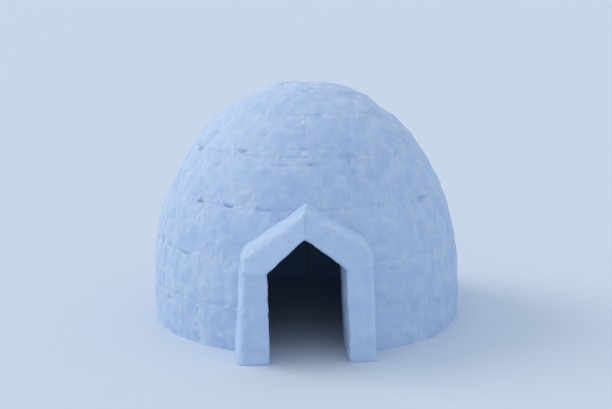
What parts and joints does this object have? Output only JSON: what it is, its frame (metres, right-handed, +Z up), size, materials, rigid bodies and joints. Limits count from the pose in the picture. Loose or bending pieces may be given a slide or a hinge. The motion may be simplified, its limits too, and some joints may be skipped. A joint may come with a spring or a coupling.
{
  "type": "igloo",
  "caption": "Snow-block igloo: a beehive dome of leaning blocks laid in courses, closed by a key block, with a gabled entrance porch of four snow slabs.",
  "frame": {"origin": "on the ground, at the middle of the footprint's bounding box; the dome's own axis stands 90 mm behind it", "axes": "+Z up, the entrance porch faces -Y, +X is to the right as one looks at the entrance"},
  "size_m": [2.4, 2.58, 1.83],
  "materials": {
    "dome_snow": "matte packed snow",
    "porch_snow": "matte packed snow"
  },
  "bodies": {
    "root": {"course_1_block_1": "dome_snow", "course_1_block_2": "dome_snow", "course_1_block_3": "dome_snow", "course_1_block_4": "dome_snow", "course_1_block_5": "dome_snow", "course_1_block_6": "dome_snow", "course_1_block_7": "dome_snow", "course_1_block_8": "dome_snow", "course_2_block_1": "dome_snow", "course_2_block_2": "dome_snow", "course_2_block_3": "dome_snow", "course_2_block_4": "dome_snow", "course_2_block_5": "dome_snow", "course_2_block_6": "dome_snow", "course_2_block_7": "dome_snow", "course_3_block_2": "dome_snow", "course_3_block_3": "dome_snow", "course_3_block_4": "dome_snow", "course_3_block_5": "dome_snow", "course_3_block_6": "dome_snow", "course_3_block_7": "dome_snow", "course_4_block_1": "dome_snow", "course_4_block_2": "dome_snow", "course_4_block_3": "dome_snow", "course_4_block_4": "dome_snow", "course_4_block_5": "dome_snow", "course_4_block_6": "dome_snow", "course_4_block_7": "dome_snow", "course_4_block_8": "dome_snow", "course_5_block_1": "dome_snow", "course_5_block_2": "dome_snow", "course_5_block_3": "dome_snow", "course_5_block_4": "dome_snow", "course_5_block_5": "dome_snow", "course_5_block_6": "dome_snow", "course_6_block_1": "dome_snow", "course_6_block_2": "dome_snow", "course_6_block_3": "dome_snow", "door_arch_block_left": "dome_snow", "door_arch_block_right": "dome_snow", "key_block": "dome_snow", "porch_jamb_left": "porch_snow", "porch_jamb_right": "porch_snow", "porch_roof_slab_left": "porch_snow", "porch_roof_slab_right": "porch_snow"}
  },
  "joints": []
}
